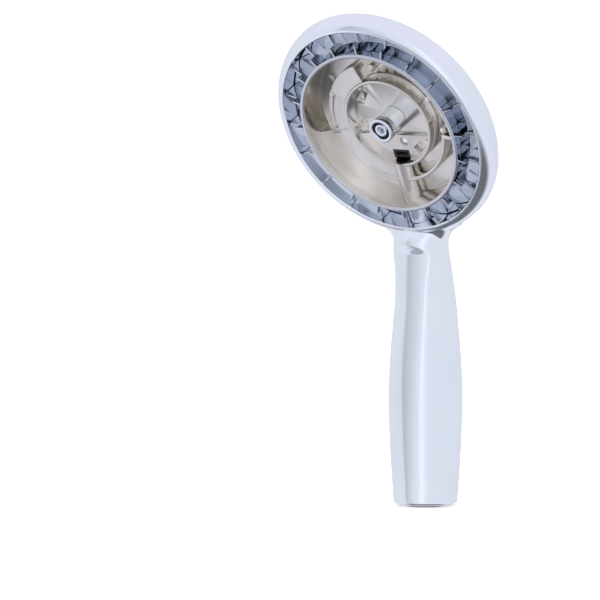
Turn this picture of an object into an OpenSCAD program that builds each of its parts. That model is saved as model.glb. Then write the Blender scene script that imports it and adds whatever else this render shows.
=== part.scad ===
// Handheld shower head body: a round open head on a tapered handle, with its
// water chamber, selector cup, inlet bush, screen, flow regulator and check valve.
// The handle axis is +Z with the inlet end of the handle at z = 0.
// The open face looks along -Y and down.

/* [Head] */
// Widest radius of the head
head_r = 58; // [56:0.5:72]
// Width that the rolled lip adds outside its flat edge
lip_roll = 4.8; // [3:0.1:7]
// Width of the flat edge of the lip
lip_flat = 0.8; // [0.4:0.1:1.5]
// Depth from the lip plane to the widest point
shoulder_h = 8.4; // [7:0.1:12]
// Depth from the widest point to the back of the dome
dome_h = 21.1; // [20:0.1:30]
// Wall of the dome
head_wall = 2.6; // [2:0.1:3.4]
// Angle of the face below the vertical
face_tilt = 26.7; // [22:0.1:32]

/* [Handle] */
// Height of the lowest edge of the head above the inlet end
handle_len = 128.3; // [105:0.5:165]
// Distance that this lowest edge stands ahead of the handle axis
rim_setback = 3.7; // [3:0.1:5]
// Half width of the handle at the inlet end
foot_r = 14.75; // [14.6:0.05:20]
// Half width of the handle at its belly
belly_r = 17.15; // [16:0.05:24]
// Height of the belly as a share of the handle's length
belly_at = 0.39; // [0.3:0.01:0.5]
// Half width of the handle at the neck
neck_r = 13.3; // [13:0.05:16]
// Distance that the neck leans forward
neck_lean = 4.5; // [3.5:0.1:5.5]
// Radius of the fillet between the neck and the head
neck_fillet = 12; // [8:0.5:13]
// Half width of the flattened front panel at its top
panel_w = 10.3; // [7:0.1:11]
// How flat the front panel is, from round to a flat chord
panel_flat = 0.55; // [0.2:0.05:0.7]
// Wall of the handle
handle_wall = 2.2; // [1.8:0.1:2.4]
// Radius of the rounded edge at the inlet end
foot_round = 1.2; // [0.6:0.1:1.6]

/* [Water chamber] */
// Width of the ribbed channel between the mouth and the ring wall
channel_w = 10.2; // [8:0.1:12]
// Thickness of the ring wall
ring_wall = 2.1; // [1.6:0.1:2.6]
// Height that the ring wall stands proud of the lip plane
ring_proud = 2.3; // [1:0.1:4]
// Depth of the chamber floor below the lip plane
floor_depth = 14; // [13.4:0.1:15]
// Thickness of the chamber floor
floor_t = 2.2; // [1.6:0.1:2.4]
// Depth of the channel's own floor below the lip plane
channel_depth = 10; // [9:0.1:10.4]
// Thickness of the channel's floor
channel_t = 1.8; // [1.2:0.1:2]
// Number of ribs in the channel
rib_count = 20; // [12:1:28]
// Thickness of a rib
rib_t = 1; // [0.8:0.1:1.6]
// Depth of the low outer part of a rib below the lip plane
rib_low = 1.9; // [1:0.1:4]
// Height of the inner part of a rib above the lip plane
rib_high = 1.6; // [0.4:0.1:2]
// Length of the high inner part of a rib
rib_step = 4.2; // [3:0.1:6]
// Gap between the ring wall and the inner arc wall
arc_gap = 9.2; // [7:0.1:11]
// Thickness of the arc wall
arc_wall = 1.9; // [1.4:0.1:2.4]
// Depth of the arc wall's top and the cup's rim
terrace_depth = 6.3; // [5:0.1:8]
// Half width of the hump over the water duct
duct_r = 5.5; // [5.2:0.1:6.2]
// Depth of the duct axis below the lip plane
duct_depth = 11; // [10.5:0.1:11.4]

/* [Selector cup] */
// Outer radius of the cup
cup_r = 23.2; // [20:0.1:26]
// Wall of the cup
cup_wall = 1.7; // [1.2:0.1:2.4]
// Thickness of the cup's floor
cup_floor_t = 1.5; // [1:0.1:2]
// Height of the raised land above the cup's floor
land_h = 1.9; // [1:0.1:3]
// Distance of the raised land from the cup's centre
land_y = 8.2; // [7:0.1:9]
// Width of the water port
port_w = 9; // [7:0.1:10]
// Length of the water port
port_l = 4.4; // [3.6:0.1:5]

/* [Centre post] */
// Outer radius of the post
post_r = 6.2; // [5.6:0.1:7]
// Radius of the recess in the top of the post
post_recess_r = 4.5; // [4.2:0.1:4.8]
// Height of the post above the lip plane
post_proud = 0.3; // [0:0.1:1]
// Outer radius of the threaded insert
insert_r = 3.1; // [2.8:0.1:3.3]
// Radius of the screw hole in the insert
screw_r = 1.65; // [1.2:0.05:2.1]
// Depth of the screw hole
screw_depth = 9; // [6:0.5:10]

/* [Detent] */
// Radius of the detent plunger
plunger_r = 2.2; // [1.8:0.1:2.6]

/* [Inlet] */
// Outer radius of the inlet bush
bush_r = 12.2; // [11.9:0.1:12.4]
// Height that the bush stands out of the handle
bush_proud = 0.9; // [0.4:0.1:2]
// Radius of the inlet thread at its crests
thread_r = 9.3; // [9.1:0.05:9.5]
// Depth of the threaded part from the end of the handle
thread_depth = 11.5; // [10:0.5:14]
// Radius of the bore for the screen, regulator and check valve
cartridge_r = 8; // [7.6:0.1:8.3]
// Outer radius of the water tube
tube_r = 5.2; // [4.8:0.1:5.3]
// Bore radius of the water tube
tube_bore_r = 3.8; // [3:0.1:4]
// Length of the tube inside each of its sockets
tube_grip = 5.5; // [5:0.1:6.5]

/* [Fits] */
// Gap between the chamber and the head around it
chamber_gap = 0.2; // [0.1:0.05:0.4]
// Gap around parts that drop into a bore
drop_gap = 0.15; // [0.1:0.01:0.2]
// Radial clearance of a plunger or stem that slides
slide_gap = 0.05; // [0.03:0.01:0.1]
// Gap left between faces that face each other
face_gap = 0.1; // [0.05:0.01:0.2]

/* [Hidden] */
$fn = 64;
eps = 0.2;

// Head, in the face's own frame: z = 0 is the lip plane and +z points out of the face
mouth_r = head_r - lip_roll - lip_flat;
dome_power = 1.3;
face_height = handle_len + head_r * cos(face_tilt) - shoulder_h * sin(face_tilt);
face_reach = rim_setback + head_r * sin(face_tilt) + shoulder_h * cos(face_tilt);
floor_z = -floor_depth;
floor_back = floor_z - floor_t;
channel_z = -channel_depth;
channel_back = channel_z - channel_t;
chamber_r = mouth_r - chamber_gap;
ring_r = mouth_r - channel_w;
ring_in = ring_r - ring_wall;
arc_r = ring_in - arc_gap;
arc_in = arc_r - arc_wall;
terrace_z = -terrace_depth;
terrace_drop = 0.4;
web_rise = 0.2;
web_low = 190;
web_high = 350;
duct_z = -duct_depth;
duct_bore = tube_bore_r;
tube_room = 0.5;
rise_room = 0.15;
corner_lap = 1.5;
socket_wall = 1.5;
socket_r = tube_r + face_gap;
socket_end = -(ring_r + 3);

// Cup
cup_in = cup_r - cup_wall;
cup_base = floor_z + face_gap / 2;
cup_floor = cup_base + cup_floor_t;
land_z = cup_floor + land_h;
port_y = -(cup_in - 1 - port_l / 2);
plunger_x = 3.2;
land_edge = max(post_r + face_gap, min(land_y, cup_in - port_l - 2 * plunger_r - 2.5));
plunger_y = -(land_edge + plunger_r + 1.1);
plunger_hole_r = plunger_r + slide_gap;
plunger_top = land_z - 0.5;
plunger_len = 2.2;
plunger_pit = floor_back + 0.8;

// Post
post_top = post_proud;
post_recess_h = 4.2;
post_ring_r = (post_recess_r - insert_r) / 2 - 0.02;

// Water tube: up the handle, then a bend that turns it into the duct
corner_l = (duct_depth * cos(face_tilt) - face_reach) / sin(face_tilt);
corner_z = face_height + corner_l * cos(face_tilt) + duct_depth * sin(face_tilt);
bend_r = 19;
bend_tangent = bend_r * tan(face_tilt / 2);
groove_depth = 0.7;
ring_section = (groove_depth + face_gap) / 2 - 0.01;

// Inlet stack, from the bottom up
bush_top = 38;
seat_ledge = 1;
tube_foot = bush_top - tube_grip;
washer_t = 2;
washer_r = thread_r + 0.4;
screen_z = thread_depth + face_gap;
screen_t = 0.8;
regulator_z = screen_z + screen_t + face_gap;
regulator_h = 4.5;
valve_z = regulator_z + regulator_h + face_gap;
valve_top = tube_foot - seat_ledge - face_gap;
valve_r = cartridge_r - drop_gap;
valve_in = 6.2;
valve_seat_t = 2;
valve_port_r = 4;
poppet_r = 5.2;
poppet_z = valve_z + valve_seat_t + face_gap;
poppet_h = 2.3;
seal_t = 1;
stem_r = 1.5;
guide_h = 2;
guide_z = valve_top - guide_h - 0.8;
valve_ring_depth = 0.8;
valve_ring_section = (valve_ring_depth + drop_gap) / 2 - 0.01;
bush_ring_depth = 1.3;
bush_ring_section = bush_ring_depth / 2 - 0.01;
bush_ring_z = 6.5;
boss_top = 14;

// Handle sections
belly_z = belly_at * handle_len;
neck_z = handle_len - 10;
flare_z = handle_len - 7.7;
flare_end = flare_z + neck_fillet * 0.933;
lean_z = handle_len - 38;
panel_end = 6;
panel_top = handle_len - 11.8;
panel_arch = 5.2;
front_lip = 1.2;

// Half width of the handle at height z
function half_w(z) = z < belly_z ? foot_r + (belly_r - foot_r) * sin(90 * z / belly_z)
    : z < neck_z ? belly_r - (belly_r - neck_r) * (1 - cos(180 * (z - belly_z) / (neck_z - belly_z))) / 2
    : z < flare_z ? neck_r
    : z < flare_end ? neck_r + neck_fillet * (1 - sqrt(1 - pow((z - flare_z) / neck_fillet, 2)))
    : max(4, neck_r + neck_fillet * 0.64 - 1.2 * (z - flare_end));

// Forward lean of the middle of the handle at height z
function lean(z) = z < lean_z ? 0 : -neck_lean * pow(min(1, (z - lean_z) / (flare_z - lean_z)), 2);

// Half depth of the handle below the flare
function half_d(z) = z < lean_z ? half_w(z) : half_w(z) - 0.9 * min(1, (z - lean_z) / (flare_z - lean_z));

// Where the plane just inside the lip stands at height z
function lip_front(z) = -face_reach + (front_lip + (face_height - z) * sin(face_tilt)) / cos(face_tilt);

turn_z = flare_z - 6;
turn_front = lean(turn_z) - half_d(turn_z);
turn_slope = -0.2;
neck_back = lean(flare_z) + half_d(flare_z);
lip_z = handle_len + 0.9;
crown_z = handle_len + 29;
crown_back = -2.6;

// Smooth curve from a to b with slopes sa and sb over length l, t from 0 to 1
function ease(a, b, sa, sb, l, t) = a * (2 * t * t * t - 3 * t * t + 1) + b * (3 * t * t - 2 * t * t * t)
    + l * sa * (t * t * t - 2 * t * t + t) + l * sb * (t * t * t - t * t);

// Front and back of the handle at height z
function front(z) = z < turn_z ? lean(z) - half_d(z)
    : z < lip_z ? ease(turn_front, lip_front(lip_z), turn_slope, 0.6, lip_z - turn_z,
        (z - turn_z) / (lip_z - turn_z))
    : lip_front(z);
function back(z) = z < flare_z ? lean(z) + half_d(z)
    : ease(neck_back, crown_back, -0.06, -0.1, crown_z - flare_z,
        min(1, (z - flare_z) / (crown_z - flare_z)));

// Half width of the flattened panel at height z
function panel(z) = z <= panel_end || z >= panel_top + panel_arch ? 0
    : let (s = min(1, (z - panel_end) / (lean_z + 12 - panel_end)),
           g = min(1, max(0, (z - lean_z - 10) / (panel_top - lean_z - 10))),
           base = 0.74 * panel_w * (1 - pow(1 - s, 1.6)) + 0.26 * panel_w * g * g * (3 - 2 * g))
      z < panel_top ? base : base * sqrt(1 - pow((z - panel_top) / panel_arch, 2));

// Insets the lowest rows of the handle so that its end has a round edge
function foot_inset(z) = z >= foot_round ? 0
    : foot_round - sqrt(foot_round * foot_round - pow(foot_round - z, 2));

panel_n = 6;
side_n = 30;
panel_min = 1.8;

// One closed section of the handle, t inside its outer face
function section(z, t) =
    let (a = half_w(z) - t - foot_inset(z),
         yc = (front(z) + back(z)) / 2,
         b = (back(z) - front(z)) / 2 - t - foot_inset(z),
         w = max(panel_min, min(panel(z), 0.8 * a)),
         flat = panel_flat * min(1, panel(z) / panel_min),
         q = asin(w / a),
         core = z < flare_z ? a : min(a, neck_r - t))
    concat(
        [for (i = [0 : panel_n - 1])
            let (x = -w + 2 * w * i / panel_n, round_y = -b * sqrt(1 - x * x / (a * a)))
            [x, yc + round_y + (-b * cos(q) - round_y) * flat, z]],
        [for (i = [0 : side_n])
            let (u = q + (360 - 2 * q) * i / side_n)
            if (i < side_n)
                [(abs(u - 180) < 90 ? core + (a - core) * pow(sin(u), 2) : a) * sin(u), yc - b * cos(u), z]]);

// A closed solid through a stack of sections with the same number of points
module loft(rows) {
    n = len(rows[0]);
    m = len(rows);
    points = [for (r = rows) for (p = r) p];
    sides = [for (j = [0 : m - 2]) for (i = [0 : n - 1])
        [j * n + i, j * n + (i + 1) % n, (j + 1) * n + (i + 1) % n, (j + 1) * n + i]];
    split = [for (f = sides) for (k = [0, 1]) k == 0 ? [f[0], f[2], f[1]] : [f[0], f[3], f[2]]];
    foot = [for (i = [0 : n - 1]) i];
    head = [for (i = [n - 1 : -1 : 0]) (m - 1) * n + i];
    polyhedron(points, concat(split, [foot, head]), convexity = 6);
}

module in_face() {
    translate([0, -face_reach, face_height]) rotate([90 + face_tilt, 0, 0]) children();
}

// A torus that lies flat around the z axis
module o_ring(mid_r, section_r) {
    rotate_extrude() translate([mid_r, 0]) circle(r = section_r, $fn = 24);
}

// A tube from z0 to z1
module sleeve(r_out, r_in, z0, z1) {
    translate([0, 0, z0]) difference() {
        cylinder(r = r_out, h = z1 - z0);
        translate([0, 0, -1]) cylinder(r = r_in, h = z1 - z0 + 2);
    }
}

// A ring wall that runs from angle a0 to angle a1
module arc(r_out, r_in, z0, z1, a0, a1) {
    rotate([0, 0, a0]) rotate_extrude(angle = a1 - a0)
        translate([r_in, z0]) square([r_out - r_in, z1 - z0]);
}

// A coil spring with its axis on z
module coil(mid_r, wire_r, z0, z1, turns) {
    steps = 14;
    sides = 6;
    n = ceil(turns * steps);
    rise = (z1 - z0 - 2 * wire_r) / n;
    points = [for (i = [0 : n]) for (k = [0 : sides - 1])
        let (t = 360 * i / steps, u = 360 * k / sides, r = mid_r + wire_r * cos(u))
        [r * cos(t), r * sin(t), z0 + wire_r + rise * i + wire_r * sin(u)]];
    walls = [for (i = [0 : n - 1]) for (k = [0 : sides - 1])
        let (p = i * sides + k, q = i * sides + (k + 1) % sides)
        [p, q, q + sides, p + sides]];
    split = [for (f = walls) for (k = [0, 1]) k == 0 ? [f[0], f[1], f[2]] : [f[0], f[2], f[3]]];
    first = [for (k = [sides - 1 : -1 : 0]) k];
    last = [for (k = [0 : sides - 1]) n * sides + k];
    polyhedron(points, concat(split, [first, last]), convexity = 8);
}

// Outline of the head outside, from the middle of the back to the lip
function head_outline() = concat(
    [[0, -shoulder_h - dome_h]],
    [for (t = [80 : -10 : 0])
        [head_r * pow(cos(t), dome_power), -shoulder_h - dome_h * pow(sin(t), dome_power)]],
    [for (t = [75 : -15 : 0]) [mouth_r + lip_flat + lip_roll * sin(t), -shoulder_h + shoulder_h * cos(t)]],
    [[mouth_r, 0]]);

// Outline of the hollow behind the chamber floor
function hollow_outline() = concat(
    [[0, 1], [mouth_r, 1], [mouth_r, channel_back]],
    [for (t = [0 : 10 : 90])
        let (r = (head_r - head_wall - 1) * pow(max(0, cos(t)), dome_power),
             z = -shoulder_h - (dome_h - head_wall) * pow(sin(t), dome_power))
        if (z < channel_back - 0.3) [min(r, mouth_r - 0.8), z]]);

handle_rows = concat([0, 0.35 * foot_round, foot_round], [for (k = [1 : 13]) k / 14 * (lean_z + 12)],
    [lean_z + 14, lean_z + 18, lean_z + 22], [for (k = [0 : 5]) panel_top + panel_arch * k / 5.001],
    [for (k = [1 : 6]) flare_z + neck_fillet * 0.932 * sin(15 * k)],
    [handle_len + 4, handle_len + 8, handle_len + 13, handle_len + 20, crown_z]);
hollow_rows = concat([boss_top], [for (k = [1 : 7]) boss_top + k / 8 * (lean_z - boss_top)],
    [lean_z + 4, lean_z + 12, lean_z + 20, panel_top, flare_z, flare_z + 4]);

module body_shell() {
    color("gainsboro") difference() {
        union() {
            in_face() rotate_extrude($fn = 96)
                polygon(concat(head_outline(), [[mouth_r, -shoulder_h], [0, -shoulder_h]]));
            loft([for (z = handle_rows) section(z, 0)]);
        }
        in_face() rotate_extrude($fn = 96) polygon(hollow_outline());
        in_face() translate([0, 0, duct_z]) rotate([90, 0, 0]) {
            cylinder(r = tube_r + tube_room, h = -corner_l + 1);
            cylinder(r = socket_r + socket_wall + face_gap, h = chamber_r + chamber_gap);
        }
        translate([0, 0, panel_top]) cylinder(r = tube_r + rise_room, h = corner_z + corner_lap - panel_top);
        loft([for (z = hollow_rows) section(z, handle_wall)]);
        translate([0, 0, -1]) cylinder(r = bush_r, h = boss_top + 2);
    }
}

// One stepped rib of the channel, along +x
module rib() {
    translate([ring_r - eps, -rib_t / 2, channel_z - eps])
        cube([rib_step + eps, rib_t, rib_high - channel_z + eps]);
    translate([ring_r - eps, -rib_t / 2, channel_z - eps])
        cube([chamber_r - 0.1 - ring_r + eps, rib_t, -rib_low - channel_z + eps]);
}

module water_chamber() {
    color("silver") in_face() difference() {
        union() {
            translate([0, 0, floor_back]) cylinder(r = ring_r, h = floor_t, $fn = 96);
            sleeve(ring_r, ring_in, floor_z - eps, ring_proud);
            sleeve(chamber_r, ring_r - eps, channel_back, channel_z);
            for (i = [0 : rib_count - 1]) rotate([0, 0, 270 + i * 360 / rib_count]) rib();
            arc(arc_r, arc_in, floor_z - eps, terrace_z, web_high - 360, web_low);
            for (a = [web_low, web_high]) rotate([0, 0, a])
                translate([arc_in, -rib_t, floor_z - eps])
                    cube([ring_in - arc_in + eps, 2 * rib_t, terrace_z + web_rise - floor_z + eps]);
            arc(arc_r + 1.2, cup_r - 1, floor_z - eps, terrace_z - terrace_drop, web_low, 271);
            arc(ring_in + eps, cup_r - 1, floor_z - eps, terrace_z - 1.5 * terrace_drop, 270, web_high);
            for (a = [184, 152, 90, 28, -4]) rotate([0, 0, a])
                translate([arc_r - 0.5, 0, floor_z - eps]) cylinder(r = 1.7, h = terrace_z - floor_z + eps);
            duct_hump();
        }
        duct_passage();
        translate([0, 0, floor_z]) cylinder(r = cup_r + face_gap, h = 20, $fn = 96);
        translate([plunger_x, plunger_y, plunger_pit]) cylinder(r = plunger_hole_r, h = floor_t);
    }
}

// The hump over the duct and the socket that takes the water tube
module duct_hump() {
    intersection() {
        union() {
            translate([0, -cup_r + 2, duct_z]) rotate([90, 0, 0]) cylinder(r = duct_r, h = head_r);
            translate([0, socket_end + 2, duct_z]) rotate([90, 0, 0])
                cylinder(r = socket_r + socket_wall, h = head_r);
        }
        translate([0, 0, -head_r / 2]) cylinder(r = chamber_r - face_gap, h = head_r, $fn = 96);
    }
}

module duct_passage() {
    translate([0, -cup_r + 2, duct_z]) rotate([90, 0, 0]) cylinder(r = duct_bore, h = mouth_r);
    translate([0, socket_end, duct_z]) rotate([90, 0, 0]) cylinder(r = socket_r, h = mouth_r);
}

module diverter_cup() {
    color("silver") in_face() difference() {
        union() {
            translate([0, 0, cup_base]) cylinder(r = cup_r, h = cup_floor_t, $fn = 96);
            sleeve(cup_r, cup_in, cup_base, terrace_z);
            intersection() {
                translate([0, 0, cup_base]) cylinder(r = cup_r - 0.1, h = cup_floor_t + land_h, $fn = 96);
                translate([-cup_r, -cup_r - land_edge, cup_base]) cube([2 * cup_r, cup_r, cup_floor_t + land_h]);
            }
            cup_lug(120, 2.2);
            cup_lug(333, 2.2);
            cup_lug(195, 1.2);
        }
        cup_pocket(145, 8);
        cup_pocket(308, 6);
        translate([-port_w / 2, port_y - port_l / 2, cup_base - 1]) cube([port_w, port_l, 8]);
        translate([0, -cup_in + 2, duct_z]) rotate([90, 0, 0]) cylinder(r = duct_bore, h = 6);
        translate([plunger_x, plunger_y, cup_base - 1]) cylinder(r = plunger_hole_r, h = 8);
        translate([0, 0, cup_base - 1]) cylinder(r = post_r - 1.4, h = 4);
    }
}

// A small tooth on the inside of the cup's wall
module cup_lug(a, w) {
    rotate([0, 0, a]) translate([cup_in - 1.8, -w / 2, cup_floor - eps])
        cube([2.4, w, terrace_z - cup_floor - 0.6]);
}

// A pocket in the cup's floor beside the wall
module cup_pocket(a, w) {
    rotate([0, 0, a]) translate([cup_in - 5.4, -w / 2, cup_floor - 1]) cube([4.2, w, 6]);
}

module port_seal() {
    color("dimgray") in_face() translate([0, port_y, 0]) difference() {
        translate([-port_w / 2 + face_gap, -port_l / 2 + face_gap, cup_base + 0.6])
            cube([port_w - 2 * face_gap, port_l - 2 * face_gap, land_z - cup_base - 0.8]);
        translate([-port_w / 2 + 1.2, -port_l / 2 + 1.2, cup_base])
            cube([port_w - 2.4, port_l - 2.4, 8]);
    }
}

module centre_post() {
    color("gainsboro") in_face() difference() {
        union() {
            sleeve(post_r, insert_r, cup_floor, post_top);
            sleeve(post_r - 1.5, insert_r, cup_base, cup_floor + 1);
        }
        translate([0, 0, post_top - post_recess_h]) cylinder(r = post_recess_r, h = post_recess_h + 1);
    }
}

module post_insert() {
    color("goldenrod") in_face() difference() {
        translate([0, 0, cup_base]) cylinder(r = insert_r, h = post_top - 0.5 - cup_base);
        translate([0, 0, post_top - 0.5 - screw_depth]) cylinder(r = screw_r, h = screw_depth + 1);
    }
}

module post_o_ring() {
    color("black") in_face() translate([0, 0, post_top - post_recess_h + post_ring_r])
        o_ring((post_recess_r + insert_r) / 2, post_ring_r);
}

module detent_plunger() {
    color("lightgray") in_face() translate([plunger_x, plunger_y, 0]) difference() {
        union() {
            translate([0, 0, plunger_top - plunger_len]) cylinder(r = plunger_r, h = plunger_len - 0.8);
            intersection() {
                translate([0, 0, plunger_top - plunger_r]) sphere(r = plunger_r, $fn = 48);
                translate([0, 0, plunger_top - plunger_r]) cylinder(r = plunger_r + 1, h = plunger_r + 1);
            }
        }
        translate([0, 0, plunger_top - plunger_len - 1]) cylinder(r = plunger_r - 0.6, h = plunger_len - 0.2);
    }
}

module detent_spring() {
    color("gray") in_face() translate([plunger_x, plunger_y, 0])
        coil(plunger_r - 0.95, 0.2, plunger_pit + 0.03, plunger_top - 1.25, 4);
}

// The tube's way as a solid of radius r, longer by g at its ends; its bend is a little slimmer
module tube_solid(r, g) {
    lap = 0.6;
    translate([0, 0, tube_foot - g]) cylinder(r = r, h = corner_z - bend_tangent - tube_foot + g + lap);
    translate([0, -bend_r, corner_z - bend_tangent]) rotate([90, 0, 90])
        rotate_extrude(angle = face_tilt) translate([bend_r, 0]) circle(r = r - 0.1);
    in_face() translate([0, corner_l + bend_tangent - lap, duct_z]) rotate([-90, 0, 0])
        cylinder(r = r, h = socket_end - face_gap - corner_l - bend_tangent + g + lap);
}

module waterway_tube() {
    color("whitesmoke") difference() {
        tube_solid(tube_r, 0);
        tube_solid(tube_bore_r, 1);
        translate([0, 0, tube_foot + 2]) sleeve(tube_r + 1, tube_r - groove_depth, 0, 2 * ring_section + 0.1);
        in_face() translate([0, socket_end - 2, duct_z]) rotate([90, 0, 0])
            sleeve(tube_r + 1, tube_r - groove_depth, 0, 2 * ring_section + 0.1);
    }
}

module tube_bottom_o_ring() {
    color("black") translate([0, 0, tube_foot + 2 + ring_section + 0.05])
        o_ring(tube_r - groove_depth + ring_section + 0.005, ring_section);
}

module tube_top_o_ring() {
    color("black") in_face() translate([0, socket_end - 2 - ring_section - 0.05, duct_z]) rotate([90, 0, 0])
        o_ring(tube_r - groove_depth + ring_section + 0.005, ring_section);
}

module inlet_bush() {
    color("gainsboro") difference() {
        translate([0, 0, -bush_proud]) cylinder(r = bush_r, h = bush_top + bush_proud);
        translate([0, 0, -bush_proud - 1]) cylinder(r = thread_r, h = thread_depth + bush_proud + 1);
        sleeve(washer_r + drop_gap, thread_r - 0.5, thread_depth - washer_t - 2 * face_gap, thread_depth);
        translate([0, 0, thread_depth - 1])
            cylinder(r = cartridge_r, h = tube_foot - seat_ledge - thread_depth + 1);
        translate([0, 0, tube_foot - seat_ledge - 1]) cylinder(r = tube_bore_r + 0.6, h = 4);
        translate([0, 0, tube_foot]) cylinder(r = socket_r, h = tube_grip + 1);
        sleeve(bush_r + 1, bush_r - bush_ring_depth, bush_ring_z, bush_ring_z + bush_ring_depth + 0.2);
    }
}

module bush_o_ring() {
    color("black") translate([0, 0, bush_ring_z + bush_ring_depth / 2 + 0.1])
        o_ring(bush_r - bush_ring_depth + bush_ring_section + 0.005, bush_ring_section);
}

module hose_washer() {
    color("black") sleeve(washer_r, 6, thread_depth - face_gap - washer_t, thread_depth - face_gap);
}

module inlet_screen() {
    hole = 1.1;
    pitch = 1.8;
    reach = valve_r - 1.7;
    color("silver") difference() {
        translate([0, 0, screen_z]) cylinder(r = valve_r, h = screen_t);
        for (i = [-3 : 3]) for (j = [-3 : 3])
            if (norm([i, j]) * pitch < reach)
                translate([i * pitch - hole / 2, j * pitch - hole / 2, screen_z - 1]) cube([hole, hole, 3]);
    }
}

module flow_regulator() {
    color("seagreen") difference() {
        translate([0, 0, regulator_z]) cylinder(r = valve_r, h = regulator_h);
        translate([0, 0, regulator_z - 1]) difference() {
            cylinder(r = 6, h = 3.4);
            translate([0, 0, -1]) cylinder(r = 3.4, h = 5);
        }
        for (a = [0 : 60 : 300]) rotate([0, 0, a])
            translate([4.7, 0, regulator_z - 1]) cylinder(r = 0.9, h = regulator_h + 2, $fn = 24);
    }
}

module regulator_ring() {
    color("black") translate([0, 0, regulator_z + 1.25]) o_ring(4.7, 1.1);
}

module check_valve_body() {
    color("white") difference() {
        translate([0, 0, valve_z]) cylinder(r = valve_r, h = valve_top - valve_z);
        translate([0, 0, valve_z + valve_seat_t]) cylinder(r = valve_in, h = valve_top - valve_z);
        translate([0, 0, valve_z - 1]) cylinder(r = valve_port_r, h = valve_seat_t + 2);
        sleeve(valve_r + 1, valve_r - valve_ring_depth, valve_z + 5, valve_z + 5 + valve_ring_depth + 0.3);
    }
}

module check_valve_o_ring() {
    color("black") translate([0, 0, valve_z + 5 + valve_ring_depth / 2 + 0.15])
        o_ring(valve_r - valve_ring_depth + valve_ring_section + 0.005, valve_ring_section);
}

module check_valve_guide() {
    color("white") {
        difference() {
            union() {
                sleeve(valve_in - 0.02, valve_in - 1, guide_z, guide_z + guide_h);
                translate([0, 0, guide_z]) cylinder(r = 3.9, h = guide_h);
                for (a = [0, 60, 120]) rotate([0, 0, a])
                    translate([-valve_in + 0.5, -0.6, guide_z]) cube([2 * valve_in - 1, 1.2, guide_h]);
            }
            translate([0, 0, guide_z - 1]) cylinder(r = stem_r + slide_gap, h = guide_h + 2);
        }
    }
}

module check_valve_poppet() {
    color("white") difference() {
        union() {
            translate([0, 0, poppet_z]) cylinder(r = poppet_r, h = poppet_h);
            translate([0, 0, poppet_z + poppet_h - eps])
                cylinder(r = stem_r, h = guide_z + guide_h - poppet_z - poppet_h + eps);
        }
        sleeve(poppet_r - 0.3, valve_port_r - 0.8, poppet_z - 1, poppet_z + seal_t);
    }
}

module poppet_seal() {
    color("black")
        sleeve(poppet_r - 0.32, valve_port_r - 0.78, poppet_z - face_gap / 2, poppet_z + seal_t - 0.01);
}

module check_valve_spring() {
    color("gray") coil(2.9, 0.35, poppet_z + poppet_h + 0.02, guide_z - 0.02, 4.5);
}

body_shell();
water_chamber();
diverter_cup();
port_seal();
centre_post();
post_insert();
post_o_ring();
detent_plunger();
detent_spring();
waterway_tube();
tube_top_o_ring();
tube_bottom_o_ring();
inlet_bush();
bush_o_ring();
check_valve_body();
check_valve_guide();
check_valve_poppet();
poppet_seal();
check_valve_spring();
check_valve_o_ring();
flow_regulator();
regulator_ring();
inlet_screen();
hose_washer();
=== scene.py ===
import math

import bpy
import numpy as np
from mathutils import Matrix, Vector


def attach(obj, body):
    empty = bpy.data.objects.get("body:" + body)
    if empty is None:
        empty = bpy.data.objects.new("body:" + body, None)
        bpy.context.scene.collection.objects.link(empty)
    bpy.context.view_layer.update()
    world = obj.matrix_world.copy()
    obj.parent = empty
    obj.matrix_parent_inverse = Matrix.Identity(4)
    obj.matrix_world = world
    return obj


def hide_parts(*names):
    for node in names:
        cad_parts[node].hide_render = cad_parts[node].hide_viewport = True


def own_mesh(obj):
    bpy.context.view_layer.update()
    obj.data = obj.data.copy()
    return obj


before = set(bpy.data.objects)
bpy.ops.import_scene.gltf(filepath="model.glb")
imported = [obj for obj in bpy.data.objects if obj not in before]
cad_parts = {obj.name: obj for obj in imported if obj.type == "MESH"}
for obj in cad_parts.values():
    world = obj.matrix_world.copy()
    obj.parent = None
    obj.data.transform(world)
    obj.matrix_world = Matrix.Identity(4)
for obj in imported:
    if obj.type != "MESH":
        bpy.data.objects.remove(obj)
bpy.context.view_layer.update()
bpy.ops.object.select_all(action="DESELECT")
MM = 0.001

# Shell: the round head and the tapered handle, one thin ABS moulding with a
# bright chromium plate on its outside. The handle swells out of the foot, has a
# flattened front and flows into the head's rolled lip through a wide fillet.
HEAD_R, LIP_FLAT, LIP_ROLL, SHOULDER, DOME = 58.0, 0.8, 4.8, 8.4, 21.1
DOME_POWER = 1.3
MOUTH_R = HEAD_R - LIP_FLAT - LIP_ROLL
HANDLE_LEN, FOOT_R, BELLY_R, NECK_R = 128.3, 14.75, 17.15, 13.3
BELLY_Z, NECK_Z, FLARE_Z, LEAN_Z = 0.39 * HANDLE_LEN, HANDLE_LEN - 10, HANDLE_LEN - 7.7, HANDLE_LEN - 38
NECK_LEAN, NECK_FILLET, FOOT_ROUND = 4.5, 12.0, 1.2
PANEL_W, PANEL_FLAT, PANEL_MIN, PANEL_END, PANEL_ARCH = 10.3, 0.55, 1.8, 6.0, 5.2
PANEL_TOP = HANDLE_LEN - 11.8
TILT = math.radians(26.7)
FACE_HEIGHT = HANDLE_LEN + HEAD_R * math.cos(TILT) - SHOULDER * math.sin(TILT)
RIM_SETBACK = 3.7
FACE_REACH = RIM_SETBACK + HEAD_R * math.sin(TILT) + SHOULDER * math.cos(TILT)
FACE = (Matrix.Translation((0, -FACE_REACH * MM, FACE_HEIGHT * MM))
        @ Matrix.Rotation(math.pi / 2 + TILT, 4, "X"))
CROWN_Z, CROWN_BACK = HANDLE_LEN + 29, -2.6
CREASE, FAIRING = 0.5, 6.0


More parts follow.
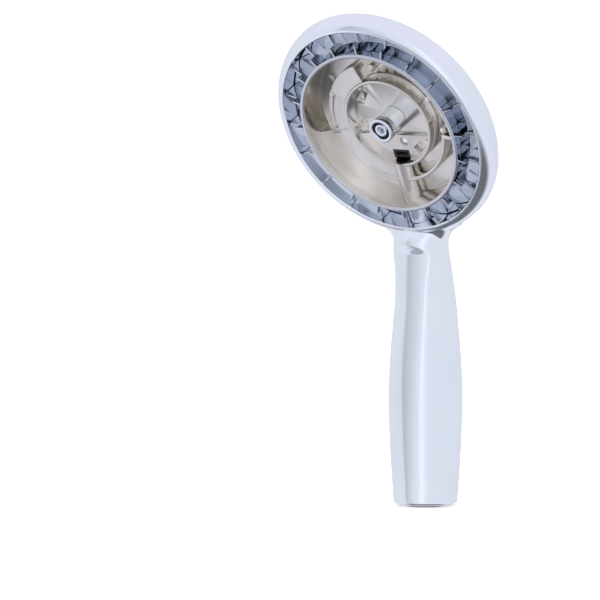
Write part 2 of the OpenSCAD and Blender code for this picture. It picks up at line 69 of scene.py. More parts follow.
def half_width(z):
    low = FOOT_R + (BELLY_R - FOOT_R) * np.sin(np.pi / 2 * np.clip(z / BELLY_Z, 0, 1))
    swell = (1 - np.cos(np.pi * np.clip((z - BELLY_Z) / (NECK_Z - BELLY_Z), 0, 1))) / 2
    mid = BELLY_R - (BELLY_R - NECK_R) * swell
    rise = np.clip((z - FLARE_Z) / NECK_FILLET, 0, 0.933)
    flare = NECK_R + NECK_FILLET * (1 - np.sqrt(1 - rise ** 2))
    end = np.maximum(4, NECK_R + NECK_FILLET * 0.64 - 1.2 * (z - FLARE_Z - NECK_FILLET * 0.933))
    wide = np.where(z < FLARE_Z + NECK_FILLET * 0.933, flare, end)
    return np.where(z < BELLY_Z, low, np.where(z < FLARE_Z, mid, wide))


def lean(z):
    return -NECK_LEAN * np.clip((z - LEAN_Z) / (FLARE_Z - LEAN_Z), 0, 1) ** 2


def half_depth(z):
    return half_width(np.minimum(z, FLARE_Z - 0.01)) - 0.9 * np.clip((z - LEAN_Z) / (FLARE_Z - LEAN_Z), 0, 1)


def lip_front(z):
    return -FACE_REACH + (1.2 + (FACE_HEIGHT - z) * math.sin(TILT)) / math.cos(TILT)


def handle_front(z):
    turn, lip = FLARE_Z - 6, HANDLE_LEN + 0.9
    t = np.clip((z - turn) / (lip - turn), 0, 1)
    a, b, run = lean(turn) - half_depth(turn), lip_front(lip), lip - turn
    curve = (a * (2 * t ** 3 - 3 * t ** 2 + 1) + b * (3 * t ** 2 - 2 * t ** 3)
             - 0.2 * run * (t ** 3 - 2 * t ** 2 + t) + 0.6 * run * (t ** 3 - t ** 2))
    return np.where(z < turn, lean(z) - half_depth(z), np.where(z < lip, curve, lip_front(z)))


def handle_back(z):
    t = np.clip((z - FLARE_Z) / (CROWN_Z - FLARE_Z), 0, 1)
    a, b, run = lean(FLARE_Z) + half_depth(FLARE_Z), CROWN_BACK, CROWN_Z - FLARE_Z
    curve = (a * (2 * t ** 3 - 3 * t ** 2 + 1) + b * (3 * t ** 2 - 2 * t ** 3)
             - 0.06 * run * (t ** 3 - 2 * t ** 2 + t) - 0.1 * run * (t ** 3 - t ** 2))
    return np.where(z < FLARE_Z, lean(z) + half_depth(z), curve)


def panel_half(z):
    s = np.clip((z - PANEL_END) / (LEAN_Z + 12 - PANEL_END), 0, 1)
    g = np.clip((z - LEAN_Z - 10) / (PANEL_TOP - LEAN_Z - 10), 0, 1)
    base = 0.74 * PANEL_W * (1 - (1 - s) ** 1.6) + 0.26 * PANEL_W * g * g * (3 - 2 * g)
    arch = np.sqrt(1 - np.clip((z - PANEL_TOP) / PANEL_ARCH, 0, 1) ** 2)
    return np.where((z <= PANEL_END) | (z >= PANEL_TOP + PANEL_ARCH), 0, base * arch)


def foot_inset(z):
    round_off = np.sqrt(np.clip(FOOT_ROUND ** 2 - (FOOT_ROUND - z) ** 2, 0, None))
    return np.where(z < FOOT_ROUND, FOOT_ROUND - round_off, 0)


def soft_min(a, b, k):
    h = np.clip(0.5 + 0.5 * (b - a) / k, 0, 1)
    return b * (1 - h) + a * h - k * h * (1 - h)


def handle_field(p):
    """How far points stand outside the handle, in mm."""
    x, y, z = p[:, 0], p[:, 1], p[:, 2]
    a = half_width(z) - foot_inset(z)
    mid, b = (handle_front(z) + handle_back(z)) / 2, (handle_back(z) - handle_front(z)) / 2 - foot_inset(z)
    u2, v2 = (x / a) ** 2, ((y - mid) / b) ** 2
    core = np.where(z < FLARE_Z, a, np.minimum(a, NECK_R))
    wide = np.where(y > mid, core + (a - core) * u2 / (u2 + v2 + 1e-9), a)
    round_out = (np.sqrt((x / wide) ** 2 + v2) - 1) * np.minimum(a, b)
    w = np.maximum(PANEL_MIN, np.minimum(panel_half(z), 0.8 * a))
    flat = PANEL_FLAT * np.minimum(1, panel_half(z) / PANEL_MIN)
    round_y = -b * np.sqrt(np.clip(1 - u2, 0.02, 1))
    skin = mid + round_y + (-b * np.sqrt(1 - (w / a) ** 2) - round_y) * flat
    panel_out = np.where(flat > 0, skin - y, -9.0)
    return np.maximum(-soft_min(-round_out, -panel_out, CREASE), z - CROWN_Z)


def head_field(p):
    """How far points stand outside the round head, in mm."""
    dy, dz = p[:, 1] + FACE_REACH, p[:, 2] - FACE_HEIGHT
    z = -math.cos(TILT) * dy - math.sin(TILT) * dz
    r = np.hypot(p[:, 0], -math.sin(TILT) * dy + math.cos(TILT) * dz)
    q = 2 / DOME_POWER
    d = np.clip(-SHOULDER - z, 1e-6, None)
    s = (r / HEAD_R) ** q + (d / DOME) ** q + 1e-12
    slope = s ** (1 / q - 1) * np.hypot((r / HEAD_R) ** (q - 1) / HEAD_R, (d / DOME) ** (q - 1) / DOME)
    dome = (s ** (1 / q) - 1) / slope
    u, v = (r - MOUTH_R - LIP_FLAT) / LIP_ROLL, (z + SHOULDER) / SHOULDER
    e = np.sqrt(u * u + v * v) + 1e-9
    roll = (e - 1) * e / np.hypot(u / LIP_ROLL, v / SHOULDER)
    return np.where(z < -SHOULDER, dome, np.where(u > 0, roll, z)), z


def steep(field, p, step=0.05):
    out = np.empty_like(p)
    for k in range(3):
        d = np.zeros(3)
        d[k] = step
        out[:, k] = (field(p + d) - field(p - d)) / (2 * step)
    return out


def shell_field(p):
    g = np.linalg.norm(steep(handle_field, p), axis=1)
    handle = handle_field(p) / np.maximum(g, 0.5)
    head, z = head_field(p)
    k = 0.05 + FAIRING * np.clip((-z - 0.2) / 4, 0, 1) ** 2 * (3 - 2 * np.clip((-z - 0.2) / 4, 0, 1))
    return soft_min(head, handle, k)


def settle(p, rounds):
    for _ in range(rounds):
        f, g = shell_field(p), steep(shell_field, p)
        p = p - np.clip(f / np.maximum((g * g).sum(1), 0.2), -1.5, 1.5)[:, None] * g
    return p


def handle_loop(z, inset=0.0):
    """128 points round the handle at height z, lined up with the edges of its flat front."""
    zz = np.array([z])
    a = float((half_width(zz) - foot_inset(zz))[0]) - inset
    front, back = float(handle_front(zz)[0]), float(handle_back(zz)[0])
    mid, b = (front + back) / 2, (back - front) / 2 - float(foot_inset(zz)[0]) - inset
    follow = PANEL_TOP if z > PANEL_TOP else z
    w = max(PANEL_MIN, min(float(panel_half(np.array([follow]))[0]), 0.8 * a))
    flat = PANEL_FLAT * min(1, float(panel_half(zz)[0]) / PANEL_MIN)
    q = math.asin(w / a)
    x = w * np.sin(np.pi / 2 * np.linspace(-1, 1, 33))[:-1]
    y = -b * np.sqrt(1 - x * x / (a * a))
    y = y + (-b * math.cos(q) - y) * flat
    t = np.linspace(0, 1, 97)[:-1]
    u = q + (2 * math.pi - 2 * q) * t
    xs, ys = np.concatenate([x, a * np.sin(u)]), np.concatenate([y, -b * np.cos(u)])
    return np.stack([xs, mid + ys, np.full(128, z)], 1)


def to_world(p):
    """Face-frame points in mm, as points of the whole object in mm."""
    m = np.array(FACE)[:3, :3]
    return p @ m.T + np.array([0, -FACE_REACH, FACE_HEIGHT])


# The head's skin: rows from the flat of the lip to the middle of the back
SEGS, ROWS, GAP, ROW_A, ROW_B = 256, 84, 16, 1, 33
t = np.linspace(0, np.pi / 2, 200)
roll = np.stack([MOUTH_R + LIP_FLAT + LIP_ROLL * np.sin(t), -SHOULDER + SHOULDER * np.cos(t)], 1)
dome = np.stack([HEAD_R * np.cos(t).clip(0) ** DOME_POWER, -SHOULDER - DOME * np.sin(t) ** DOME_POWER], 1)
line = np.concatenate([roll, dome[1:]])
run = np.concatenate([[0], np.cumsum(np.linalg.norm(np.diff(line, axis=0), axis=1))])
at = np.linspace(0, run[-1], ROWS + 1)[:-1]
rows = np.stack([np.interp(at, run, line[:, 0]), np.interp(at, run, line[:, 1])], 1)
angle = -np.pi / 2 + 2 * np.pi * (np.arange(SEGS) - SEGS // 2) / SEGS
skin = np.stack([rows[:, :1] * np.cos(angle), rows[:, :1] * np.sin(angle), rows[:, 1:] + 0 * angle], 2)
verts = [to_world(skin.reshape(-1, 3)), to_world(np.array([[0, 0, 0], [0, 0, rows[-1, 1] - 0.02]]))]
rim_mid, pole = ROWS * SEGS, ROWS * SEGS + 1
c = SEGS // 2
hole = ([ROW_A * SEGS + c - GAP + i for i in range(2 * GAP)]
        + [(ROW_A + i) * SEGS + c + GAP for i in range(ROW_B - ROW_A)]
        + [ROW_B * SEGS + c + GAP - i for i in range(2 * GAP)]
        + [(ROW_B - i) * SEGS + c - GAP for i in range(ROW_B - ROW_A)])
faces = []
for j in range(ROWS - 1):
    for i in range(SEGS):
        if ROW_A <= j < ROW_B and c - GAP <= i < c + GAP:
            continue
        k = (i + 1) % SEGS
        faces.append((j * SEGS + i, (j + 1) * SEGS + i, (j + 1) * SEGS + k, j * SEGS + k))
for i in range(SEGS):
    k = (i + 1) % SEGS
    faces.append((rim_mid, i, k))
    faces.append((pole, (ROWS - 1) * SEGS + k, (ROWS - 1) * SEGS + i))

# The handle's skin, from the rounded foot to the neck, then the fairing that joins it to the head
heights = np.concatenate([FOOT_ROUND * (1 - np.cos(np.linspace(0, np.pi / 2, 7))),
                          np.linspace(FOOT_ROUND, 112, 106)[1:], np.linspace(112, FLARE_Z, 18)[1:]])
foot = len(np.concatenate(verts))
loops = [handle_loop(z) for z in heights]
verts.append(np.concatenate(loops))
BRIDGE = 22
edge = np.concatenate(verts)[hole]
for m in range(1, BRIDGE):
    s = m / BRIDGE
    verts.append(loops[-1] * (1 - s) + edge * s)
rings = [[foot + r * 128 + i for i in range(128)] for r in range(len(heights) + BRIDGE - 1)] + [hole]
for low, high in zip(rings, rings[1:]):
    for i in range(128):
        k = (i + 1) % 128
        faces.append((low[i], low[k], high[k], high[i]))
faces.append(tuple(reversed(rings[0])))

points = np.concatenate(verts)
ends = np.array([(f[i], f[(i + 1) % len(f)]) for f in faces if len(f) < 9 for i in range(len(f))])
near = np.zeros(len(points), bool)
for ring in rings[-BRIDGE - 4:-1]:
    near[ring] = True
grid = np.arange(ROWS * SEGS).reshape(ROWS, SEGS)
near[grid[ROW_A + 2:ROW_B + 7, c - GAP - 6:c + GAP + 7].ravel()] = True
for i in range(2 * GAP + 1):
    near[grid[ROW_A, c - GAP + i]] = False
count = np.zeros(len(points))
np.add.at(count, ends.ravel(), 1)
live = np.zeros(len(points), bool)
live[ends.ravel()] = True
body_rows = np.ones(len(points), bool)
body_rows[[rim_mid] + rings[0]] = False
body_rows[:SEGS] = False
points[body_rows & live] = settle(points[body_rows & live], 4)
for _ in range(40):
    total = np.zeros_like(points)
    np.add.at(total, ends[:, 0], points[ends[:, 1]])
    np.add.at(total, ends[:, 1], points[ends[:, 0]])
    smooth = total / np.maximum(count, 1)[:, None]
    points[near & live] = 0.5 * points[near & live] + 0.5 * smooth[near & live]
    points[near & live] = settle(points[near & live], 1)
points[near & live] = settle(points[near & live], 4)

# Points inside the joint are dropped with the faces that would have held them
keep = np.zeros(len(points), bool)
keep[[i for f in faces for i in f]] = True
index = np.cumsum(keep) - 1
mesh = bpy.data.meshes.new("head_and_handle_shell")
mesh.from_pydata((points[keep] * MM).tolist(), [], [tuple(int(index[i]) for i in f) for f in faces])
mesh.validate()
shell = bpy.data.objects.new("head_and_handle_shell", mesh)
bpy.context.collection.objects.link(shell)


def only(piece, *others):
    bpy.ops.object.select_all(action="DESELECT")
    for o in (piece,) + others:
        o.select_set(True)
    bpy.context.view_layer.objects.active = piece
    return piece


def cut(piece, tool, way="DIFFERENCE"):
    """Cuts the tool out of the piece, or joins it on, and removes the tool."""
    only(piece)
    m = piece.modifiers.new("cut", "BOOLEAN")
    m.object, m.operation, m.solver = tool, way, "MANIFOLD"
    bpy.ops.object.modifier_apply(modifier=m.name)
    bpy.data.objects.remove(tool)
    return piece


def turned(name, profile, steps=128, closed=False, at_face=True, angle=None, start=0.0):
    """A lathe shape about the z axis: one point is drawn out along the profile (r, z in mm) and spun."""
    bpy.ops.object.select_all(action="DESELECT")
    bpy.ops.mesh.primitive_plane_add(size=MM)
    piece = bpy.context.active_object
    piece.name = piece.data.name = name
    bpy.ops.object.mode_set(mode="EDIT")
    bpy.ops.mesh.select_mode(type="VERT")
    bpy.ops.mesh.select_all(action="SELECT")
    bpy.ops.mesh.merge(type="CENTER")
    x, z = 0.0, 0.0
    spots = list(profile) + ([profile[0]] if closed or angle else [])
    first = True
    for r, h in spots:
        move = (r * MM - x, 0, h * MM - z)
        if first:
            bpy.ops.transform.translate(value=move)
        else:
            bpy.ops.mesh.extrude_region_move(TRANSFORM_OT_translate={"value": move})
        x, z, first = r * MM, h * MM, False
    bpy.ops.mesh.select_all(action="SELECT")
    bpy.ops.mesh.remove_doubles(threshold=MM * 0.002)
    bpy.ops.mesh.select_all(action="SELECT")
    if angle:
        bpy.ops.mesh.edge_face_add()
    bpy.ops.mesh.spin(steps=steps, angle=angle or 2 * math.pi, center=(0, 0, 0), axis=(0, 0, 1), dupli=False)
    bpy.ops.mesh.select_all(action="SELECT")
    bpy.ops.mesh.remove_doubles(threshold=MM * 0.004)
    bpy.ops.mesh.select_all(action="SELECT")
    bpy.ops.mesh.normals_make_consistent(inside=False)
    bpy.ops.object.mode_set(mode="OBJECT")
    turn = Matrix.Rotation(start, 4, "Z")
    piece.data.transform(FACE @ turn if at_face else turn)
    return piece


# The hollow of the head behind the lip, a fine chamfer at its edge, then the hollow of the handle
FLOOR, FLOOR_BACK, CHANNEL, CHANNEL_BACK = -14.0, -16.2, -10.0, -11.8
INNER_R, INNER_DOME = 54.4, 18.5
t = np.radians(np.arange(0, 91, 6))
inner = [(INNER_R * max(0.0, math.cos(v)) ** DOME_POWER, -SHOULDER - INNER_DOME * math.sin(v) ** DOME_POWER)
         for v in t]
inner = [(min(r, MOUTH_R - 0.8), z) for r, z in inner if z < CHANNEL_BACK - 0.3]
mouth = [(0, 2), (MOUTH_R + 2.35, 2), (MOUTH_R, -0.35), (MOUTH_R, CHANNEL_BACK)]
cut(shell, turned("hollow", mouth + inner, 256))
TUBE_R, DUCT_DEPTH = 5.2, 11.0
ALONG_DUCT = Matrix.Translation((0, 0, -DUCT_DEPTH * MM)) @ Matrix.Rotation(math.pi / 2, 4, "X")
for r, far in ((TUBE_R + 0.5, 66), (TUBE_R + 1.7, MOUTH_R)):
    bore = turned("bore", [(0, 14), (r, 14), (r, far), (0, far)], 48, at_face=False)
    bore.data.transform(FACE @ ALONG_DUCT)
    cut(shell, bore)
HANDLE_WALL = 2.2
hollow_rows = [14.0] + list(np.linspace(16, FLARE_Z + 3, 30))
loops = np.concatenate([handle_loop(z, HANDLE_WALL) for z in hollow_rows])
n = len(hollow_rows)
walls = [(r * 128 + i, r * 128 + (i + 1) % 128, (r + 1) * 128 + (i + 1) % 128, (r + 1) * 128 + i)
         for r in range(n - 1) for i in range(128)]
mesh = bpy.data.meshes.new("hollow")
mesh.from_pydata((loops * MM).tolist(), [],
                 walls + [tuple(range(127, -1, -1)), tuple((n - 1) * 128 + i for i in range(128))])
hollow = bpy.data.objects.new("hollow", mesh)
bpy.context.collection.objects.link(hollow)
cut(shell, hollow)
BUSH_R = 12.2
bore = turned("bore", [(0, -2), (BUSH_R + 1.5, -2), (BUSH_R, 0.3), (BUSH_R, 15), (0, 15)], 96, at_face=False)
cut(shell, bore)


def finish(name, light, dark, rough, scale, metal=1.0, bump=0.0, stretch=(1, 1, 1), sharp=0.5):
    """A node material: two tones and two gloss levels mixed by noise, with a fine bump."""
    m = bpy.data.materials.new(name)
    m.use_nodes = True
    nodes, links = m.node_tree.nodes, m.node_tree.links
    bsdf = nodes["Principled BSDF"]
    bsdf.inputs["Metallic"].default_value = metal
    coord, place = nodes.new("ShaderNodeTexCoord"), nodes.new("ShaderNodeMapping")
    place.inputs["Scale"].default_value = stretch
    links.new(coord.outputs["Object"], place.inputs["Vector"])
    grain, ramp = nodes.new("ShaderNodeTexNoise"), nodes.new("ShaderNodeValToRGB")
    grain.inputs["Scale"].default_value, grain.inputs["Detail"].default_value = scale, 4
    links.new(place.outputs["Vector"], grain.inputs["Vector"])
    low, high = ramp.color_ramp.elements
    low.position, high.position = 0.5 - sharp / 2, 0.5 + sharp / 2
    low.color, high.color = (*dark, 1), (*light, 1)
    links.new(grain.outputs["Fac"], ramp.inputs["Fac"])
    links.new(ramp.outputs["Color"], bsdf.inputs["Base Color"])
    gloss = nodes.new("ShaderNodeMapRange")
    gloss.inputs["From Min"].default_value, gloss.inputs["From Max"].default_value = 0.3, 0.7
    gloss.inputs["To Min"].default_value, gloss.inputs["To Max"].default_value = rough
    fine = nodes.new("ShaderNodeTexNoise")
    fine.inputs["Scale"].default_value, fine.inputs["Detail"].default_value = scale * 3.1, 6
    links.new(place.outputs["Vector"], fine.inputs["Vector"])
    links.new(fine.outputs["Fac"], gloss.inputs["Value"])
    links.new(gloss.outputs["Result"], bsdf.inputs["Roughness"])
    if bump:
        relief = nodes.new("ShaderNodeBump")
        relief.inputs["Strength"].default_value, relief.inputs["Distance"].default_value = 0.5, bump * MM
        links.new(fine.outputs["Fac"], relief.inputs["Height"])
        links.new(relief.outputs["Normal"], bsdf.inputs["Normal"])
    return m


def dress(piece, material, node=None, body="root", smooth=35):
    """Gives a finished piece its material, its soft shading and its place in the assembly."""
    if piece.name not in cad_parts:
        only(piece)
        bpy.ops.object.shade_smooth_by_angle(angle=math.radians(smooth))
        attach(piece, body)
        if node:
            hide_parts(*([node] if isinstance(node, str) else node))
    piece.data.materials.clear()
    piece.data.materials.append(material)
    return piece


bright_chrome = finish("bright_chrome", (0.90, 0.935, 0.975), (0.84, 0.88, 0.935), (0.035, 0.075), 26,
                       bump=0.004)
dress(shell, bright_chrome, "body_shell")

# Chamber tray: the ribbed plate that fills the head, ABS plated with bright
# chromium outside its ring wall and with satin nickel inside it. The flat floor
# carries the ring wall that the spray face seals on.
RING_R, RING_IN, RING_TOP, CHAMBER_R = 42.2, 40.1, 2.3, 52.2
ARC_R, ARC_IN, TERRACE, CUP_R = 30.9, 29.0, -6.3, 23.2
DUCT_R, SOCKET_END, TUBE_BORE = 5.5, 45.2, 3.8


def bevelled(piece, width, segments=2):
    only(piece)
    m = piece.modifiers.new("edge", "BEVEL")
    m.width, m.segments, m.limit_method, m.angle_limit = width * MM, segments, "ANGLE", math.radians(32)
    m.use_clamp_overlap = True
    bpy.ops.object.modifier_apply(modifier=m.name)
    return piece


def block(name, x, y, z, edge=0.2, turn=0.0, at_face=True):
    """A box between the given ranges in mm, its edges rounded, turned about the axis of the face."""
    bpy.ops.object.select_all(action="DESELECT")
    bpy.ops.mesh.primitive_cube_add(size=1)
    piece = bpy.context.active_object
    piece.name = piece.data.name = name
    size = Matrix.Diagonal(((x[1] - x[0]) * MM, (y[1] - y[0]) * MM, (z[1] - z[0]) * MM, 1))
    place = Matrix.Translation(Vector(((x[0] + x[1]) / 2, (y[0] + y[1]) / 2, (z[0] + z[1]) / 2)) * MM)
    piece.data.transform(place @ size)
    if edge:
        bevelled(piece, edge)
    piece.data.transform((FACE if at_face else Matrix()) @ Matrix.Rotation(math.radians(turn), 4, "Z"))
    return piece


def copies(piece, turns):
    """The piece again at each of these turns about the axis of the face, all as one."""
    more = []
    for a in turns:
        o = piece.copy()
        o.data = piece.data.copy()
        bpy.context.collection.objects.link(o)
        o.data.transform(FACE @ Matrix.Rotation(math.radians(a), 4, "Z") @ FACE.inverted())
        more.append(o)
    only(piece, *more)
    bpy.ops.object.join()
    return piece


outline = [(0, FLOOR_BACK), (RING_R, FLOOR_BACK), (RING_R, CHANNEL_BACK), (CHAMBER_R, CHANNEL_BACK),
           (CHAMBER_R, CHANNEL), (RING_R, CHANNEL), (RING_R, RING_TOP), (RING_IN, RING_TOP), (RING_IN, FLOOR),
           (0, FLOOR)]
tray = turned("water_chamber_tray", outline, 192)
bevelled(tray, 0.45, 3)
SUNK = FLOOR - 0.3


def terrace(outer, top, start, angle):
    """A raised step of the tray's floor, between the cup and the given radius."""
    outline = [(CUP_R - 1, SUNK), (outer, SUNK), (outer, top), (CUP_R - 1, top)]
    return turned("terrace", outline, 40, angle=math.radians(angle), start=math.radians(start))


cut(tray, bevelled(terrace(ARC_R + 1.2, TERRACE - 0.4, 190, 81), 0.2), "UNION")
cut(tray, terrace(RING_IN + 0.3, TERRACE - 0.6, 270, 80), "UNION")
cut(tray, turned("well", [(0, FLOOR), (CUP_R + 0.1, FLOOR), (CUP_R + 0.1, 0), (0, 0)], 128))
arc_wall = turned("arc_wall", [(ARC_IN, SUNK), (ARC_R, SUNK), (ARC_R, TERRACE), (ARC_IN, TERRACE)],
                  100, angle=math.radians(200), start=math.radians(-10))
cut(tray, bevelled(arc_wall, 0.4, 3), "UNION")
for a in (190, 350):
    cut(tray, block("web", (ARC_IN, RING_IN + 0.2), (-1, 1), (-14.2, TERRACE + 0.2), 0.35, a), "UNION")


def shifted(piece, x, y, turn=0):
    """Moves a piece that stands on the face's axis to x, y in mm, then turns it about that axis."""
    spin = Matrix.Rotation(math.radians(turn), 4, "Z")
    piece.data.transform(FACE @ spin @ Matrix.Translation((x * MM, y * MM, 0)) @ FACE.inverted())
    return piece


LUG_R = 1.7
for a in (184, 152, 90, 28, -4):
    lug = turned("lug", [(0, -14.2), (LUG_R, -14.2), (LUG_R, TERRACE + 0.1), (0, TERRACE + 0.1)], 32)
    cut(tray, shifted(bevelled(lug, 0.35, 3), ARC_R - 0.5, 0, a), "UNION")
for r, start in ((DUCT_R, 21.2), (TUBE_R + 1.6, SOCKET_END - 2)):
    outline = [(0, start), (r, start), (r, CHAMBER_R - 0.05), (0, CHAMBER_R - 0.05)]
    hump = turned("hump", outline, 64, at_face=False)
    hump.data.transform(FACE @ ALONG_DUCT)
    cut(tray, hump, "UNION")
for r, start in ((TUBE_BORE, 20), (TUBE_R + 0.1, SOCKET_END)):
    bore = turned("bore", [(0, start), (r, start), (r, 60), (0, 60)], 48, at_face=False)
    bore.data.transform(FACE @ ALONG_DUCT)
    cut(tray, bore)
RIBS, RIB_T, RIB_HIGH, RIB_LOW, RIB_STEP = 20, 1.0, 1.6, -1.9, 4.2
bpy.ops.object.select_all(action="DESELECT")
bpy.ops.mesh.primitive_cube_add(size=1)
ribs = bpy.context.active_object
ribs.name = "ribs"
middle = Vector(((RING_R + CHAMBER_R - 0.4) / 2, 0, (RIB_LOW + CHANNEL - 0.2) / 2))
size = Vector((CHAMBER_R - RING_R + 0.2, RIB_T, RIB_LOW - CHANNEL + 0.2))
ribs.data.transform(Matrix.Translation(middle * MM) @ Matrix.Diagonal((*(size * MM), 1)))
bpy.ops.object.mode_set(mode="EDIT")
bpy.ops.mesh.select_all(action="SELECT")
bpy.ops.mesh.bisect(plane_co=((RING_R + RIB_STEP) * MM, 0, 0), plane_no=(1, 0, 0))
bpy.ops.mesh.select_all(action="DESELECT")
bpy.ops.mesh.select_mode(type="FACE")
bpy.ops.object.mode_set(mode="OBJECT")
for p in ribs.data.polygons:
    p.select = p.normal.z > 0.9 and p.center.x < (RING_R + RIB_STEP) * MM
bpy.ops.object.mode_set(mode="EDIT")
bpy.ops.mesh.extrude_region_move(TRANSFORM_OT_translate={"value": (0, 0, (RIB_HIGH - RIB_LOW) * MM)})
bpy.ops.object.mode_set(mode="OBJECT")
bevelled(ribs, 0.22, 2)
ribs.data.transform(FACE @ Matrix.Rotation(math.radians(270), 4, "Z"))
copies(ribs, [i * 360 / RIBS for i in range(1, RIBS)])
cut(tray, ribs, "UNION")
for x, y in ((-31.0, 18.1), (-33.5, -10.7)):
    mark = turned("mark", [(0, SUNK), (2.1, SUNK), (2.1, FLOOR + 0.25), (0, FLOOR + 0.25)], 32)
    cut(tray, shifted(bevelled(mark, 0.12), x, y), "UNION")
PLUNGER, PLUNGER_HOLE, PIT = (3.2, -11.5), 2.25, -15.4
cut(tray, shifted(turned("pit", [(0, PIT), (PLUNGER_HOLE, PIT), (PLUNGER_HOLE, 0), (0, 0)], 32), *PLUNGER))
satin_nickel = finish("satin_nickel", (0.90, 0.88, 0.835), (0.62, 0.59, 0.545), (0.10, 0.25), 34, bump=0.012,
                      stretch=(1, 1, 0.35), sharp=0.4)
# the tray's plate changes from nickel to chromium at the ring wall
dress(tray, satin_nickel, "water_chamber")
# chromium of the channel between lip and ring wall: the plate is real and a little duller in gloss, but its
# darker base colour is painted shade of that recess
shaded_channel_chrome = finish("shaded_channel_chrome", (0.72, 0.75, 0.80), (0.58, 0.61, 0.67), (0.05, 0.16), 40,
                        bump=0.006)
tray.data.materials.append(shaded_channel_chrome)
to_face = FACE.inverted()
for p in tray.data.polygons:
    spot = to_face @ p.center
    p.material_index = int(math.hypot(spot.x, spot.y) > (RING_IN + 0.6) * MM)

# Selector cup: a shallow dish in the middle of the tray that the selector turns in,
# ABS with satin nickel. A raised land, a water port and two pockets shape its floor.
CUP_IN, CUP_BASE, CUP_FLOOR, LAND, LAND_Y = 21.5, -13.95, -12.45, -10.55, -8.2
cup = turned("selector_cup", [(0, CUP_BASE), (CUP_R, CUP_BASE), (CUP_R, TERRACE), (CUP_IN, TERRACE),
                              (CUP_IN, CUP_FLOOR), (0, CUP_FLOOR)], 160)
bevelled(cup, 0.4, 3)
outline = [(0, CUP_FLOOR - 0.3), (CUP_IN + 0.3, CUP_FLOOR - 0.3), (CUP_IN + 0.3, LAND), (0, LAND)]
land = turned("land", outline, 128, at_face=False)
only(land)
bpy.ops.object.mode_set(mode="EDIT")
bpy.ops.mesh.select_all(action="SELECT")
bpy.ops.mesh.bisect(plane_co=(0, LAND_Y * MM, 0), plane_no=(0, 1, 0), clear_outer=True, use_fill=True)
bpy.ops.object.mode_set(mode="OBJECT")
land.data.transform(FACE)
cut(cup, bevelled(land, 0.25), "UNION")
for a, w in ((120, 2.2), (333, 2.2), (195, 1.2)):
    reach, rise = (CUP_IN - 1.8, CUP_IN + 0.6), (CUP_FLOOR - 0.2, TERRACE - 0.8)
    cut(cup, block("tooth", reach, (-w / 2, w / 2), rise, 0.2, a), "UNION")
for a, w, lo, hi in ((145, 8, 16.1, 20.3), (308, 6, 16.1, 20.3), (189, 1.8, 15.8, 19.6)):
    cut(cup, block("pocket", (lo, hi), (-w / 2, w / 2), (CUP_FLOOR - 1, 0), 0.15, a))
cut(cup, block("port", (-4.5, 4.5), (-20.5, -16.1), (-18, 0), 0.3))
cut(cup, block("slit", (-12.5, -7.5), (-0.35, 0.35), (LAND - 0.9, 0), 0, 62))
bore = turned("bore", [(0, 20), (TUBE_BORE, 20), (TUBE_BORE, 26), (0, 26)], 48, at_face=False)
bore.data.transform(FACE @ ALONG_DUCT)
cut(cup, bore)
cut(cup, shifted(turned("pit", [(0, -16), (PLUNGER_HOLE, -16), (PLUNGER_HOLE, 0), (0, 0)], 32), *PLUNGER))
cut(cup, turned("bore", [(0, -16), (4.8, -16), (4.8, -10), (0, -10)], 64))
dress(cup, satin_nickel, "diverter_cup")

# Port gasket: a small square-cut frame of nitrile rubber, pressed into the cup's
# water port, that the selector slides on
gasket = block("port_gasket", (-4.4, 4.4), (-20.4, -16.2), (CUP_BASE + 0.6, LAND - 0.2), 0.3)
cut(gasket, block("window", (-3.3, 3.3), (-19.3, -17.3), (-16, 0), 0.2))
black_rubber = finish("dull_rubber", (0.035, 0.034, 0.033), (0.02, 0.02, 0.02), (0.45, 0.7), 300, metal=0,
                      bump=0.02)
dress(gasket, black_rubber, "port_seal")

# Centre post: a turned brass collar, chromium plated, pressed through the middle of
# the cup. A recess in its top takes an O-ring.
POST_TOP, POST_RECESS, POST_R, POST_FOOT_R, RECESS_R, INSERT_R = 0.3, 4.2, 6.2, 4.7, 4.5, 3.1
outline = [(INSERT_R, CUP_BASE), (POST_FOOT_R, CUP_BASE), (POST_FOOT_R, CUP_FLOOR), (POST_R, CUP_FLOOR),
           (POST_R, POST_TOP), (RECESS_R, POST_TOP), (RECESS_R, POST_TOP - POST_RECESS),
           (INSERT_R, POST_TOP - POST_RECESS)]
collar = turned("centre_post_collar", outline, 96, closed=True)
bevelled(collar, 0.35, 3)
dress(collar, bright_chrome, "centre_post")

# Screw insert: a brass bush with an M4 thread for the screw that holds the spray
# face, plated together with the collar it is pressed into
thread_line = []
for i in range(12):
    thread_line += [(1.65, -0.7 - i * 0.7), (1.95, -1.05 - i * 0.7)]
outline = [(0, CUP_BASE), (INSERT_R, CUP_BASE), (INSERT_R, -0.2), (1.95, -0.2)]
outline += thread_line + [(1.65, -9.2), (0, -9.2)]
insert = turned("screw_insert", outline, 64)
bevelled(insert, 0.15)
dress(insert, bright_chrome, "post_insert")

# Post O-ring: a moulded rubber ring that lies in the recess of the collar, round
# the screw insert
RING_SECTION = 0.68
bpy.ops.object.select_all(action="DESELECT")
bpy.ops.mesh.primitive_torus_add(major_radius=(RECESS_R + INSERT_R) / 2 * MM, minor_radius=RING_SECTION * MM,
                                 major_segments=72, minor_segments=20)
post_ring = bpy.context.active_object
post_ring.name = post_ring.data.name = "post_sealing_ring"
post_ring.data.transform(FACE @ Matrix.Translation((0, 0, (POST_TOP - POST_RECESS + RING_SECTION) * MM)))
dress(post_ring, black_rubber, "post_o_ring")

